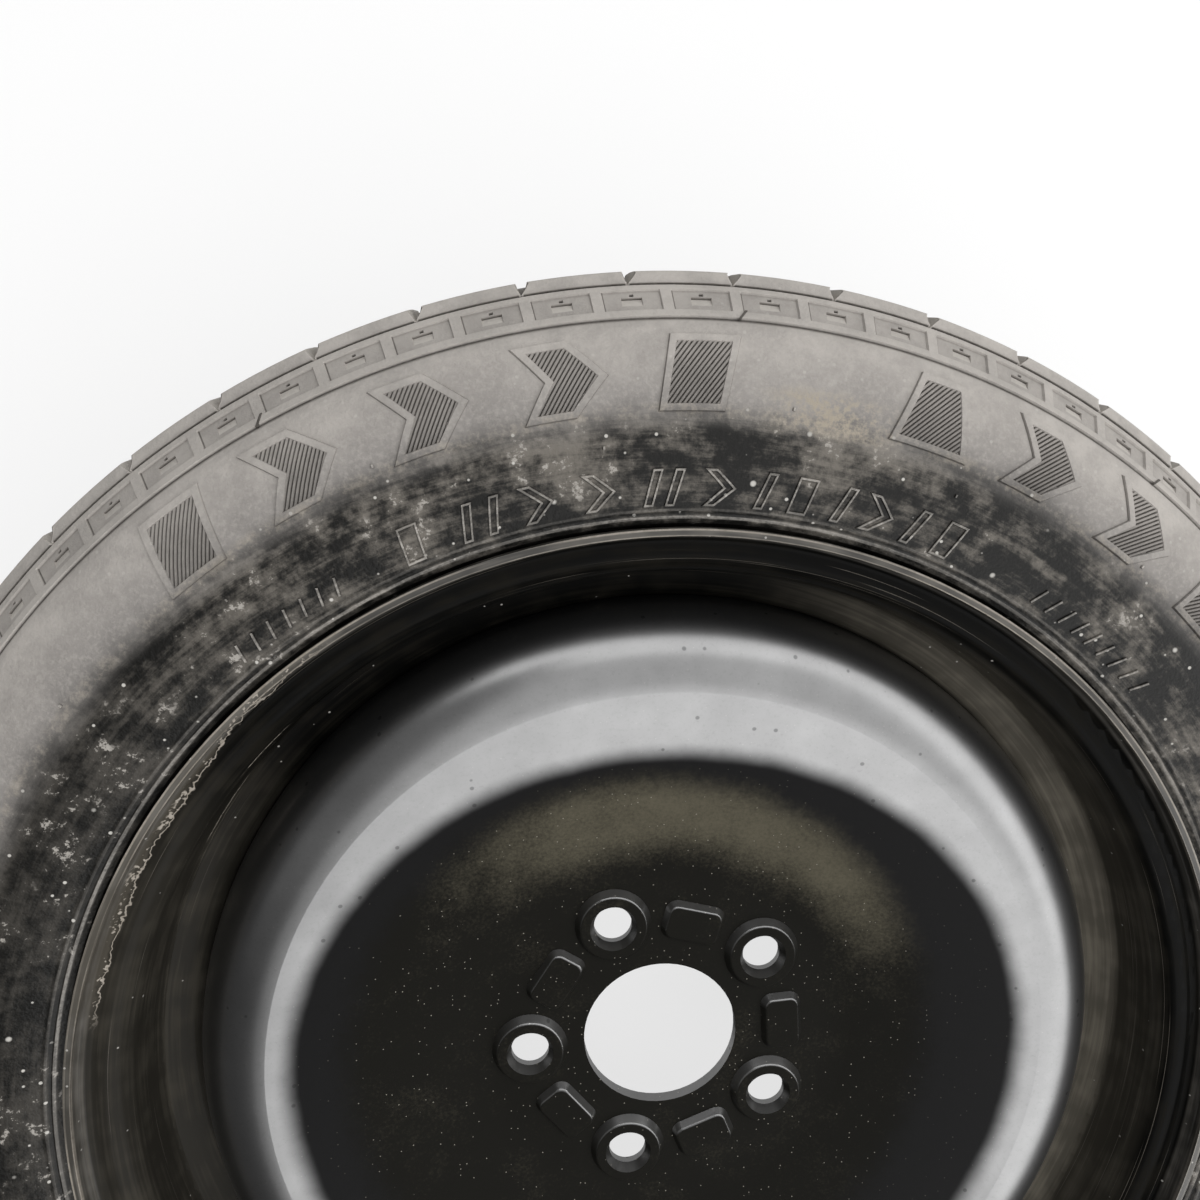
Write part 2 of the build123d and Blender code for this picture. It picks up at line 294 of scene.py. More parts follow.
# %% Room
world = bpy.data.worlds.new("room")
world.use_nodes = True
scene.world = world
room = Tree(world.node_tree)
room_seen = room.node("ShaderNodeLightPath", out="Is Camera Ray")
room_glossy = room.node("ShaderNodeLightPath", out="Is Glossy Ray")
room_mirrored = room_glossy | room.node("ShaderNodeLightPath", out="Is Transmission Ray")
room_glow, mirror_glow = 0.05, 0.02
room_strength = room_seen * (1 - room_glow) + room_mirrored * mirror_glow + room_glow
room.feed(world.node_tree.nodes["Background"], {"Color": (1, 1, 1, 1), "Strength": room_strength})
print("room has", len(world.node_tree.nodes), "nodes")

# %% [markdown]
# The floor is white to the camera too. Near the wheel a quarter of it is lit as usual, which keeps
# the shadow, and further off it is plain white, so that no horizon shows. Lighting a white floor
# until it clips would do as well, but it would wash out the rubber.

# %% Floor
reach = 30
floor_square = ((-reach, -reach), (reach, -reach), (reach, reach), (-reach, reach))
floor_corners = [(x, y, floor_height) for x, y in floor_square]
floor_mesh = bpy.data.meshes.new("floor")
floor_mesh.from_pydata(floor_corners, [], [(0, 1, 2, 3)])
floor = bpy.data.objects.new("floor", floor_mesh)
scene.collection.objects.link(floor)

floor_finish = Finish("floor_white", Roughness=0.9)
seen = floor_finish.node("ShaderNodeLightPath", out="Is Camera Ray")
mirrored = floor_finish.node("ShaderNodeLightPath", out="Is Glossy Ray")
through = floor_finish.node("ShaderNodeLightPath", out="Is Transmission Ray")
glow = floor_finish.node("ShaderNodeEmission", None, {"Color": (1, 1, 1, 1), "Strength": 1.0})
lit = Value(floor_finish, floor_finish.shader.outputs[0])
lighting_grey, seen_white = (0.6, 0.6, 0.6, 1), (0.95, 0.95, 0.95, 1)
floor_tone = floor_finish.blend(seen, lighting_grey, seen_white)
floor_finish.wear(Base_Color=floor_tone)
near_white = 0.75
shadow_end, white_start = 450, 1500
far_off = floor_finish.ease(floor_finish.radius, shadow_end, white_start)
white_share = (seen | mirrored | through) * (near_white + far_off * (1 - near_white))
both = floor_finish.node("ShaderNodeMixShader", None, {0: white_share, 1: lit, 2: glow})
floor_finish.feed(floor_finish.nodes.nodes["Material Output"], {"Surface": both})
floor_mesh.materials.append(floor_finish.material)
print("floor at", round(floor_height, 4))

# %% [markdown]
# The tyre's skin is a moulding: a turned body with raised and sunk marks. One way is to cut every
# mark with booleans, which is slow and leaves ragged faces. Here each mark is its own closed form
# that sits a little inside the body, as clay on a pot, so the faces stay clean. A shade value rides
# on each vertex: 1 deep in a crevice, 0 on plain skin and -1 on a pale edge. The rubber finish
# reads it later: crevices get painted shade with some dirt, and pale edges are partly rubbed wear
# and partly painted light on faces that the lamps leave dark.

# %% Moulding class
class Moulding:
    """Vertices, faces and shades of one moulded piece."""

    def __init__(self):
        self.points = []
        self.shades = []
        self.faces = []
        self.count = 0

    def sweep(self, points, shades, ring):
        """Close rows of points into a form: a ring meets its own start, a bar gets end caps."""
        rows, columns = points.shape[:2]
        index = self.count + np.arange(rows * columns).reshape(rows, columns)
        here, ahead = (index, np.roll(index, -1, 1)) if ring else (index[:, :-1], index[:, 1:])
        quads = np.stack([here, ahead, np.roll(ahead, -1, 0), np.roll(here, -1, 0)], -1).reshape(-1, 4)
        faces = quads.tolist()
        if not ring:
            faces += [index[:, 0].tolist(), index[::-1, -1].tolist()]
        flat = points.reshape(-1, 3)
        corners = flat[quads - self.count] - flat.mean(0)
        spread = np.cross(corners[:, 1] - corners[:, 0], corners[:, 2] - corners[:, 0])
        if (spread * corners[:, 0]).sum() < 0:
            faces = [face[::-1] for face in faces]
        self.points.append(flat)
        self.shades.append(np.broadcast_to(shades, (rows, columns)).ravel())
        self.faces += faces
        self.count += rows * columns

    def piece(self, name, crease):
        """The finished mesh object, smooth up to the crease angle in degrees."""
        mesh = bpy.data.meshes.new(name)
        mesh.from_pydata(np.concatenate(self.points).tolist(), [], self.faces)
        shade = mesh.attributes.new("shade", "FLOAT", "POINT")
        shade.data.foreach_set("value", np.concatenate(self.shades).astype(np.float32))
        mesh.shade_smooth()
        mesh.set_sharp_from_angle(angle=math.radians(crease))
        made = bpy.data.objects.new(name, mesh)
        scene.collection.objects.link(made)
        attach(made, "wheel")
        print(name, "has", len(mesh.vertices), "vertices and", len(mesh.polygons), "faces")
        return made


tyre = Moulding()
sides = (1, -1)
print("moulding ready")

# %% [markdown]
# First the turned body. Its section starts at the crown, drops into the tread groove, runs under
# the tread blocks and the shoulder band, then follows two arcs down the sidewall to the bead. The
# arcs meet at the widest place, where both lie square to the axis, so each needs only its other
# end. The Screw modifier turns a section too, but rows of points can carry shades.

# %% Section of the tyre
crown_drop = 3.3
tread_half = 42.5
groove_inner, groove_outer, groove_depth = 10.0, 17.0, 4.0
block_foot = np.array([tyre_radius - crown_drop - 4.6, tread_half + 2.0])
band_foot = block_foot + (-11.6, 9.6)
widest_radius = 250.0
bead_top = (218.4, 58.0)
wall_start, wall_end, wall_step = 282.5, 224, 2.5
crown_thickness = 12

# Rows on the wall give radius, lift off it and shade
band_crease = [(286.7, -0.9, 1), (286.0, -0.5, 0.5), (285.2, -0.05, 0)]
upper_rib = [(224.2, 0, 0.2), (223.5, 0.4, -0.3), (222.8, 0.4, -0.3), (222.2, 0, 0.7)]
lower_rib = [(221.6, 0, 0.7), (221.0, 0.45, -0.6), (220.2, 0.45, -0.6), (219.6, 0, 0.4)]

# Rows of the bead give radius, height and shade
bead_flank = [(217.6, 55.4, 1), (215.0, 52.1, 1), (211.0, 50.55, 1)]
bead_seat = [(204.5, 50.4, 1), (203.0, 48.0, 1), (201.6, 33.7, 1), (204.6, 33.7, 1)]


def crown(height):
    """Radius of the tread at a height over the middle."""
    return tyre_radius - crown_drop * (np.asarray(height) / tread_half) ** 2


def wall(radius):
    """Height of the sidewall at a radius, and its outward lean along the radius and the height."""
    radius = np.asarray(radius, float)
    ends = np.where(radius[..., None] > widest_radius, band_foot, bead_top)
    run = ends[..., 0] - widest_radius
    fall = tyre_half_width - ends[..., 1]
    bend = (run**2 + fall**2) / (2 * fall)
    lean = np.clip((radius - widest_radius) / bend, -1, 1)
    upright = np.sqrt(1 - lean**2)
    return tyre_half_width - bend * (1 - upright), lean, upright


# Shade 1 paints the groove floor, the crease under the band and the bead against the rim dark as shade;
# the ribs' pale tops are rubbed.
def half_section():
    """Radius, height and shade from the crown to the bead's toe."""
    rows = [(crown(height), height, 0) for height in (0, 3, 6, 9.4)]
    groove_floor = tyre_radius - groove_depth
    rows += [(crown(groove_inner) - 0.5, groove_inner, 0.1), (groove_floor, groove_inner + 0.3, 1)]
    rows += [(groove_floor, groove_outer - 0.3, 1), (groove_floor + 0.6, groove_outer, 0.5)]
    rows += [(groove_floor - 1.6, 30, 0.3), (block_foot[0] - 0.3, block_foot[1] - 0.5, 0)]
    rows += [(block_foot[0] - 2.2, block_foot[1] - 1.6, 0), (band_foot[0] - 1.7, band_foot[1] - 2.4, 0)]
    for radius, lift, shade in band_crease:
        height, lean, upright = wall(radius)
        rows.append((radius + lift * lean, height + lift * upright, shade))
    plain_wall = [(radius, 0, 0) for radius in np.arange(wall_start, wall_end, -wall_step)]
    for radius, lift, shade in plain_wall + upper_rib + lower_rib:
        rows.append((radius, wall(radius)[0] + lift, shade))
    rows.append((bead_top[0], bead_top[1] - 0.1, 0.6))
    return np.array(rows + bead_flank + bead_seat)


half = half_section()
inner_half = np.array(
    [(215.4, 47.3, 0), (230, 54.5, 0), (250, 57.5, 0), (270, 54, 0), (284, 47.6, 0), (292, 25, 0)]
)
inner_radius = tyre_radius - crown_thickness
outer_rows = np.concatenate([half[::-1], half[1:] * (1, -1, 1)])
inner_rows = np.concatenate([inner_half * (1, -1, 1), [(inner_radius, 0, 0)], inner_half[::-1]])
section = np.concatenate([outer_rows, inner_rows])[:, :, None]

turn_steps = 312
angles = np.linspace(0, 2 * math.pi, turn_steps, endpoint=False)
tyre.sweep(ring_point(angles, section[:, 0], section[:, 1]), section[:, 2], ring=True)
print("turned body:", len(section), "rows of", turn_steps)

# %% [markdown]
# The tread's outer ribs are cut into blocks by 52 notches a side. A notch is a funnel: narrow at
# its floor and wide where it opens to the tread and the sidewall. Each block is one section swept
# along the ring, and every point of the section stops short of the notch by its own gap at either
# end, which makes the funnel without any cutting.

# %% Tread blocks
notch_count = 52
notch_angle = math.radians(-3.8)
notch_pitch = 2 * math.pi / notch_count
edge_radius = tyre_radius - crown_drop

# Shade 1 along a block's foot paints the dark line of its shadow; the edges are rubbed pale.
# Each row gives radius, height, the gap at its start, the gap at its end and shade
block_section = np.array(
    [
        (crown(17.2) - 0.4, groove_outer, 1.7, 1.7, 0.1),
        (crown(17.8), groove_outer + 0.6, 1.9, 1.9, -0.2),
        (crown(30), 30, 2.0, 2.0, 0),
        (crown(39.5), 39.5, 2.0, 2.0, -0.1),
        (edge_radius + 0.15, tread_half - 0.6, 2.2, 2.2, -0.5),
        (edge_radius - 0.5, tread_half + 0.1, 2.5, 2.5, -0.4),
        (edge_radius - 2.4, tread_half + 1.0, 1.1, 1.8, 0),
        (block_foot[0] + 0.55, block_foot[1] + 0.35, -0.4, 1.0, 0.25),
        (block_foot[0] + 0.15, block_foot[1] - 0.1, -0.6, 0.9, 1),
        (block_foot[0] - 1.5, block_foot[1] - 2.0, -0.6, 0.9, 1),
        (tyre_radius - 6.5, groove_outer + 1.5, 0.9, 0.9, 1),
    ]
)[:, :, None]
block_steps = np.array([0, 0.02, 0.2, 0.4, 0.6, 0.8, 0.98, 1])
# Both ends of a block get -1: painted light on the end facets, which the lamps leave dark.
block_shades = np.where((block_steps > 0) & (block_steps < 1), block_section[:, 4], -1)
block_start = block_section[:, 2] / block_section[:, 0]
block_end = notch_pitch - block_section[:, 3] / block_section[:, 0]
for side in sides:
    for number in range(notch_count):
        first_notch = notch_angle + (number + (side < 0) / 2) * notch_pitch
        block_angles = first_notch + block_start + (block_end - block_start) * block_steps
        block_points = ring_point(block_angles, block_section[:, 0], side * block_section[:, 1])
        tyre.sweep(block_points, block_shades, ring=False)
print("tread blocks:", 2 * notch_count)

# %% [markdown]
# Below the blocks runs a band of shallow pockets, 78 a turn, with a wedge mark in each. It is one
# ring of rows and columns whose heights are set by name: a pocket sinks a little, the wedge sinks
# further at its upper edge and ramps out again. Rows and columns stand close together where a wall
# should look crisp, so the walls stay sharp with few faces.

# %% Shoulder band
pocket_count = 78
pocket_angle = math.radians(0.82)
band_length = np.linalg.norm(band_foot - block_foot)
band_along = (band_foot - block_foot) / band_length
band_out = np.array([band_along[1], -band_along[0]])
pocket_sink, wedge_sink, tick_sink = 0.75, 1.7, 1.6
pocket_top, pocket_foot, pocket_half = 2.7, 11.8, 9.7
wedge_top, wedge_foot, wedge_half = 5.7, 9.3, 3.4
upper_rows = [0, 0.35, 0.9, 2.5, 2.8, 3.8, 4.0, 4.9, 5.1, 5.55]
lower_rows = [5.7, 5.95, 6.2, 9.3, 9.45, 11.5, 12.0, 14.4, 14.8, 15.2]
band_rows = np.array(upper_rows + lower_rows)
right_columns = np.array([0.5, 0.75, 3.4, 3.55, 9.2, 9.6, 10.0])
band_columns = np.concatenate([-right_columns[::-1], right_columns])


def band_relief(row, column):
    """Height over the band and shade at a place of one pitch."""
    # The dark line under the blocks is a painted shadow.
    if row < 0.2:
        return -0.45, 1
    # The step below the band is painted shade.
    if row > 15:
        return -1.2, 1
    # A wedge's upper wall is painted dark as its shadow and its ramp is painted light.
    if wedge_top <= row <= wedge_foot and abs(column) <= wedge_half:
        rise = (row - wedge_top) / (wedge_foot - wedge_top)
        return (pocket_sink - wedge_sink) * (1 - rise) - pocket_sink, (1 if row < wedge_top + 0.2 else -1)
    # The tick is painted dark as shade.
    if 4 <= row < 5 and abs(column) <= 0.5:
        return -tick_sink, 1
    # A pocket's left wall is painted dark as shade, its upper wall as a shadow, and its floor a little
    # darker.
    if pocket_top < row < pocket_foot and abs(column) < pocket_half:
        left_wall = column < -pocket_half + 0.2
        top_wall = row < pocket_top + 0.2
        return -pocket_sink, (0.95 if left_wall else 0.45 if top_wall else 0.25)
    # Elsewhere the band is paler, most at its upper and lower edges.
    return 0, (-0.5 if row < pocket_top or row > 14 else -0.3)


relief = np.array([[band_relief(row, column) for column in band_columns] for row in band_rows])
under = np.array([[(-2.9, 1)] * len(band_columns)] * 2)
relief = np.tile(np.concatenate([relief, under]), (1, pocket_count, 1))
rows_down = np.append(band_rows, (14.6, 0.6))[:, None]
lean_by_row = np.clip((rows_down - 7) / 7, -1, 1) * 0.35 * (np.abs(band_columns) > 9)
pitch_angles = (band_columns + lean_by_row) / (block_foot[0] - 5.8)
starts = pocket_angle + 2 * math.pi / pocket_count * np.arange(pocket_count)
band_angles = (starts[None, :, None] + pitch_angles[:, None, :]).reshape(len(rows_down), -1)
for side in sides:
    band_radius = block_foot[0] + band_along[0] * rows_down + band_out[0] * relief[:, :, 0]
    band_height = block_foot[1] + band_along[1] * rows_down + band_out[1] * relief[:, :, 0]
    tyre.sweep(ring_point(band_angles, band_radius, side * band_height), relief[:, :, 1], ring=True)
print("shoulder pockets:", 2 * pocket_count)

# %% [markdown]
# The upper sidewall carries raised blocks and arrows: a smooth border round a field of slanting
# ribs. A border or a rib is a small section that is carried along a path on the sidewall. A bump
# map could draw such marks too, but it has no edge to catch light and casts no shadow.

# %% Bars on the sidewall
mark_radius = 268.0


def dense(corners, step, ring):
    """The same path with points at most a step apart."""
    ends = np.roll(corners, -1, 0) if ring else corners[1:]
    path = []
    for start, end in zip(corners, ends):
        pieces = max(1, math.ceil(np.linalg.norm(end - start) / step))
        path += [start + (end - start) * part / pieces for part in range(pieces)]
    return np.array(path if ring else path + [corners[-1]])


def sideways(path, ring):
    """Offsets that move each point of a path one millimetre to its left, with mitred corners."""
    along = np.roll(path, -1, 0) - path if ring else np.diff(path, axis=0)
    along /= np.linalg.norm(along, axis=1)[:, None]
    left = np.stack([-along[:, 1], along[:, 0]], 1)
    before = np.roll(left, 1, 0) if ring else np.concatenate([left[:1], left])
    after = left if ring else np.concatenate([left, left[-1:]])
    return (before + after) / (1 + (before * after).sum(1))[:, None]


def bar(moulding, path, bar_section, angle, side, ring):
    """Carry a section of offset, lift and shade along a path of arc length and radius on a sidewall."""
    shift = sideways(path, ring)
    bar_section = np.array(bar_section)[:, :, None]
    arc = path[:, 0] + shift[:, 0] * bar_section[:, 0]
    radius = path[:, 1] + shift[:, 1] * bar_section[:, 0]
    height, lean, upright = wall(radius)
    lift = bar_section[:, 1]
    turned = angle + side * arc / mark_radius
    points = ring_point(turned, radius + lift * lean, side * (height + lift * upright))
    moulding.sweep(points, bar_section[:, 2], ring)


def raised(width, lift, bevel, rubbing):
    """Section of a raised bar with bevelled edges, sunk a little into the wall, painted shade at its foot,
    rubbed on top.
    """
    half_width = width / 2
    return [
        (-half_width, -0.5, 0.7),
        (-half_width, 0.02, 0.55),
        (-half_width + bevel, lift, -rubbing),
        (half_width - bevel, lift, -rubbing),
        (half_width, 0.02, 0.55),
        (half_width, -0.5, 0.7),
    ]


print("bar sections ready")

# %% [markdown]
# A panel is an outline in flat coordinates: x along the ring, y up the wall. Its border is one
# closed bar. The ribs are slanting lines that are cut off where they cross the outline, so any
# outline without curves can be hatched. A pattern texture could draw the ribs with less work, but
# it would cast no shadow.

# %% Hatched panels
marks = Moulding()
panel_foot, panel_head = 255.8, 281.0
border_width, border_lift, border_bevel, border_rubbing = 2.8, 0.8, 0.35, 0.15
rib_pitch, rib_lift, rib_shortest = 1.3, 0.6, 1.2
rib_foot, rib_top = rib_pitch / 2, 0.3
rib_way = np.array([0.62, 0.785])
rib_across = np.array([-rib_way[1], rib_way[0]])
# A rib has shade 1 at its feet, painted shade in the grooves between ribs, and 0.4 on its top.
rib_section = [
    (-rib_foot, -0.5, 1),
    (-rib_foot, 0.03, 1),
    (-rib_top, rib_lift, 0.4),
    (rib_top, rib_lift, 0.4),
    (rib_foot, 0.03, 1),
    (rib_foot, -0.5, 1),
]


def crossings(outline, offset):
    """Stretches of a slanting line that lie inside an outline: a point of the line and two places."""
    places = []
    for start, end in zip(outline, np.roll(outline, -1, 0)):
        first, second = start @ rib_across - offset, end @ rib_across - offset
        if (first < 0) != (second < 0):
            hit = start + (end - start) * first / (first - second)
            places.append(hit @ rib_way)
    places.sort()
    return [(rib_across * offset, low, high) for low, high in zip(places[::2], places[1::2])]


def hatched_panel(shape, angle, side):
    """A bordered field of slanting ribs; in the outline x runs along the ring and y up the wall."""
    tall = panel_head - panel_foot
    outline = np.array(shape) * (1, tall) + (0, panel_foot)
    border_line = dense(outline + sideways(outline, True) * border_width / 2, 4, True)
    border_section = raised(border_width, border_lift, border_bevel, border_rubbing)
    bar(marks, border_line, border_section, angle, side, True)
    field = outline + sideways(outline, True) * (border_width - 0.5)
    across = field @ rib_across
    for offset in np.arange(across.min() + rib_pitch / 2, across.max(), rib_pitch):
        for foot, low, high in crossings(field, offset):
            if high - low > rib_shortest:
                ends = np.array([foot + rib_way * low, foot + rib_way * high])
                bar(marks, dense(ends, 8, False), rib_section, angle, side, False)


slab = [(-14, 0), (9, 0), (14, 1), (-9, 1)]
arrow = [(-15, 0), (3, 0), (15, 0.5), (3, 1), (-15, 1), (-6, 0.5)]
wedge = [(-15, 0), (15, 0), (8, 1), (-8, 1)]
panels = list(zip((-37.6, -28.4, -18.9, -9.2, 0.3), (slab, arrow, arrow, arrow, slab)))
panels += list(zip((17.9, 27.2, 36.3, 45.3), (wedge, arrow, arrow, slab)))
for side in sides:
    for half_turn in (0, 180):
        for degrees, shape in panels:
            hatched_panel(shape, side * math.radians(degrees + half_turn), side)
print("hatched panels:", 4 * len(panels))

# %% [markdown]
# Lower on the wall stand small raised outlines: chevrons, slashes and blocks, with rows of ticks
# beside them. Between them are the little studs that a mould's vent holes leave. They are all bars
# again, only thinner.

# %% Small marks
mark_foot, mark_head = 225.0, 237.0
mark_lift, mark_bevel, mark_rubbing = 0.6, 0.3, 1
outline_width = 1.2
tick_foot, tick_head, tick_slant, tick_width = 226.4, 232.6, 1.2, 1.3
stud_count, stud_width, stud_low, stud_high = 24, 1.1, 245.5, 258.8
slash = [(-3.4, 0), (-0.4, 0), (3.4, 1), (0.4, 1)]
chevron = [(-5.5, 0), (-2, 0), (5.5, 0.5), (-2, 1), (-5.5, 1), (1.5, 0.5)]
block = [(-4.5, 0), (2.5, 0), (4.5, 1), (-2.5, 1)]
small_outlines = [(degrees, block) for degrees in (-23.4, 9.4, 22.8)]
small_outlines += [(degrees, chevron) for degrees in (-12.7, -7.6, 2.4, 16.2)]
small_outlines += [(degrees, slash) for degrees in (-18.6, -16.4, -3.2, -1.4, 6.2, 13.0, 19.6)]


def small_outline(shape, degrees, side):
    """A thin raised line round a shape."""
    corners = np.array(shape) * (1, mark_head - mark_foot) + (0, mark_foot)
    line_section = raised(outline_width, mark_lift, mark_bevel, mark_rubbing)
    bar(marks, dense(corners, 4, True), line_section, side * math.radians(degrees), side, True)


def stroke(degrees, foot, head, slant, width, side):
    """One short raised bar from a foot radius to a head radius."""
    ends = np.array([(-slant, foot), (slant, head)])
    line_section = raised(width, mark_lift, mark_bevel, mark_rubbing)
    bar(marks, dense(ends, 4, False), line_section, side * math.radians(degrees), side, False)


for side in sides:
    for half_turn in (0, 180):
        for degrees, shape in small_outlines:
            small_outline(shape, degrees + half_turn, side)
        for degrees in np.concatenate([np.linspace(-40, -30.4, 7), np.linspace(32.8, 46, 9)]):
            stroke(degrees + half_turn, tick_foot, tick_head, tick_slant, tick_width, side)
    for stud in range(stud_count):
        stud_radius = stud_high if stud % 2 else stud_low
        stud_place = 360 / stud_count * stud - 6.9 - 0.8 * (stud % 3)
        stroke(stud_place, stud_radius - 0.5, stud_radius + 0.5, 0, stud_width, side)
print("small outlines:", 4 * len(small_outlines))

# %% [markdown]
# A tyre's mould is a ring of segments, and each joint leaves a short slanting line across the foot
# of the shoulder band. It is a thin box from the wall up to the band, painted dark on every side as
# the shade in a slit.

# %% Mould joints
joint_count = 11
joint_angle = math.radians(3.45)
joint_slant, joint_half = 1.3 / band_foot[0], 0.45 / band_foot[0]
joint_ends = np.stack([block_foot + band_along * (band_length + 0.6), block_foot + band_along * 11.4])
joint_across = np.array([(-1, -0.6), (-1, 0.3), (1, 0.3), (1, -0.6)])
for side in sides:
    for number in range(joint_count):
        centre = joint_angle + 2 * math.pi / joint_count * number
        joint_places = centre + joint_slant * np.array([-1, 1]) + joint_half * joint_across[:, :1]
        joint_radius = joint_ends[:, 0] + band_out[0] * joint_across[:, 1:]
        joint_height = joint_ends[:, 1] + band_out[1] * joint_across[:, 1:]
        # Shade 1 paints the whole box dark as shade.
        tyre.sweep(ring_point(joint_places, joint_radius, side * joint_height), 1, ring=False)
print("mould joints:", 2 * joint_count)

# %% [markdown]
# The rubber is old and has been stored: grey dust over the tread and the upper sidewall, paler
# further out, near black below the widest place, with smears along the ring, pale specks and tan
# soil caught by the marks. The step at the widest place is partly dust and partly painted light:
# the upper wall, which faces the lamps, is painted lighter than the lower wall. Dust could be a
# second mesh layer, but it follows the radius so closely that a smooth step in the finish does it.

# %% Rubber: dust, grime and painted light
dust_low, dust_high = (0.272, 0.256, 0.241, 1), (0.475, 0.445, 0.414, 1)
dust_dark, dust_pale = (0.15, 0.14, 0.132, 1), (0.48, 0.45, 0.415, 1)
tread_grey = (0.105, 0.098, 0.09, 1)
clean_black, grimy_black = (0.006, 0.0057, 0.0049, 1), (0.165, 0.150, 0.130, 1)
dust_light_start, dust_light_full = 247.5, 262.5
paler_start, paler_full = 254, 284
tread_start, tread_full = 296, 300
clean_side = -80

rubber = Finish("tyre_rubber", IOR=1.48, Specular_IOR_Level=0.25)
shade = rubber.node("ShaderNodeAttribute", {"attribute_name": "shade"}, out="Fac")
# From the shade attribute: crevices that get painted shade, and pale edges that are partly painted light.
crevice_dirt_and_shade = rubber.ease(shade, 0.0, 1.0)
rubbed_and_lit = rubber.ease(shade, 0.0, -1.0)
cloud = rubber.noise(30, 4, 0.62)
blotch = rubber.noise(9, 5, 0.72)
fine = rubber.noise(1.8, 3, 0.7)
smear = rubber.noise(1.0, 5, 0.68, rubber.streaks(45, 4.5))

wander = (cloud - 0.5) * 9 + (smear - 0.5) * 5
# Grey dust and painted light at once: the upper wall, facing the lamps, is painted lighter than the lower.
dust_and_light = rubber.ease(rubber.radius + wander, dust_light_start, dust_light_full)
# The grey gets paler further out.
paler_outward = rubber.ease(rubber.radius + wander, paler_start, paler_full)
grey = rubber.blend(paler_outward, dust_low, dust_high)
grey = rubber.blend(rubber.ease(cloud * 0.5 + blotch * 0.5, 0.62, 0.40) * 0.3, grey, dust_dark)
on_tread = rubber.near(rubber.height, 0, 20, 41) * rubber.ease(rubber.radius, tread_start, tread_full)
grey = rubber.blend(on_tread * (0.35 + blotch * 0.6), grey, tread_grey)
grey = rubber.blend(rubber.ease(fine, 0.42, 0.72) * 0.35, grey, dust_pale)
grime = rubber.ease(blotch * 0.4 + smear * 0.3 + cloud * 0.3, 0.445, 0.60)
grime = grime * (1 - rubber.near(rubber.angle, clean_side, 18, 55) * 0.75)
black = rubber.blend(grime, clean_black, grimy_black)
skin = rubber.blend(dust_and_light, black, grey)
print("rubber has", len(rubber.nodes.nodes), "nodes for dust and grime")

# %% [markdown]
# Over that come the marks of use: pale scuffs low on the wall, tan soil in one patch and in a thin
# ring, and specks. Last come pale edges, partly rubbed wear and partly painted light, and crevices
# painted dark with shade and some dirt. Each is a mask from 0 to 1 that blends one more colour in,
# in the order in which the real marks would land on a tyre.

# %% Rubber: marks of use, pale edges and painted shade
scuff_grey, soil_tan = (0.42, 0.395, 0.36, 1), (0.38, 0.335, 0.27, 1)
speck_pale, rubbed_and_lit_pale = (0.58, 0.56, 0.52, 1), (0.52, 0.49, 0.45, 1)
crevice_shade_black, crevice_shade_dusty = (0.004, 0.0038, 0.0033, 1), (0.046, 0.040, 0.034, 1)
patch_angle, patch_radius, soil_ring = 10.3, 259, 256.3

scuffed = rubber.ease(blotch * 0.7 + fine * 0.3, 0.57, 0.62) * rubber.ease(cloud, 0.49, 0.56)
skin = rubber.blend(scuffed * (1 - dust_and_light) * 0.85, skin, scuff_grey)
soil = rubber.near(rubber.angle, patch_angle, 1.5, 6.5) * rubber.near(rubber.radius, patch_radius, 3, 10)
soil = soil | rubber.near(rubber.radius, soil_ring, 0.6, 3.5) * 0.3
soil = soil * rubber.ease(blotch * 0.6 + fine * 0.4, 0.44, 0.60)
skin = rubber.blend(soil, skin, soil_tan)
pale_speck = rubber.specks(5, 0.75, 0.5) | rubber.specks(17, 1.5, 0.4)
skin = rubber.blend(pale_speck * (0.95 - dust_and_light * 0.65), skin, speck_pale)
# Pale edges: rubbed wear, and painted light on block ends and wedge ramps.
rub_and_light = dust_and_light * 0.2 + 0.28 + rubber.ease(smear * 0.6 + fine * 0.4, 0.44, 0.60) * 0.4
skin = rubber.blend(rubbed_and_lit * rub_and_light, skin, rubbed_and_lit_pale)
# Crevices, creases and gaps get painted shade, mixed with some dirt.
crevice_shade_tone = rubber.blend(dust_and_light, crevice_shade_black, crevice_shade_dusty)
skin = rubber.blend(crevice_dirt_and_shade * (0.6 + fine * 0.5), skin, crevice_shade_tone)

rubber_bump = rubber.bump(rubber.noise(1.2, 1, 0.65) * 0.2)
rubber.wear(Base_Color=skin, Roughness=0.42 + dust_and_light * 0.36 + soil * 0.2 + grime * 0.12, Normal=rubber_bump)
print("rubber has", len(rubber.nodes.nodes), "nodes in all")

# %% [markdown]
# Now both mouldings become objects. The skin stands in for the tyre's solid, and both ride on the
# wheel's body, so they move with it in every pose.

# %% Tyre pieces
crease_angle = 38
tyre_skin = tyre.piece("tyre_skin", crease_angle)
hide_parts("tyre")
tyre_marks = marks.piece("tyre_marks", crease_angle)
for moulded in (tyre_skin, tyre_marks):
    moulded.data.materials.append(rubber.material)

# %% [markdown]
# Rim and disc are dipped in black paint. A thick gloss lies over a duller black, and where dirt
# covers it the gloss is gone. The Principled shader's coat is that gloss: its weight falls where
# dust lies. Mixing two shaders would also do, but the coat keeps one set of sockets to read. On one
# side of the rim the paint has peeled along a ragged line at the foot of the curl.

# %% Rim paint: dust and peeling
paint_black, film_brown = (0.0025, 0.0025, 0.0022, 1), (0.010, 0.009, 0.007, 1)
barrel_dust, dull_paint = (0.150, 0.136, 0.110, 1), (0.060, 0.053, 0.042, 1)
dusty_side, other_side = 80, -85
barrel_start, barrel_full = 203, 196
peel_radius, peel_climb, peel_side = 210.6, 3.6, -57
curl_foot, curl_full = 44, 48

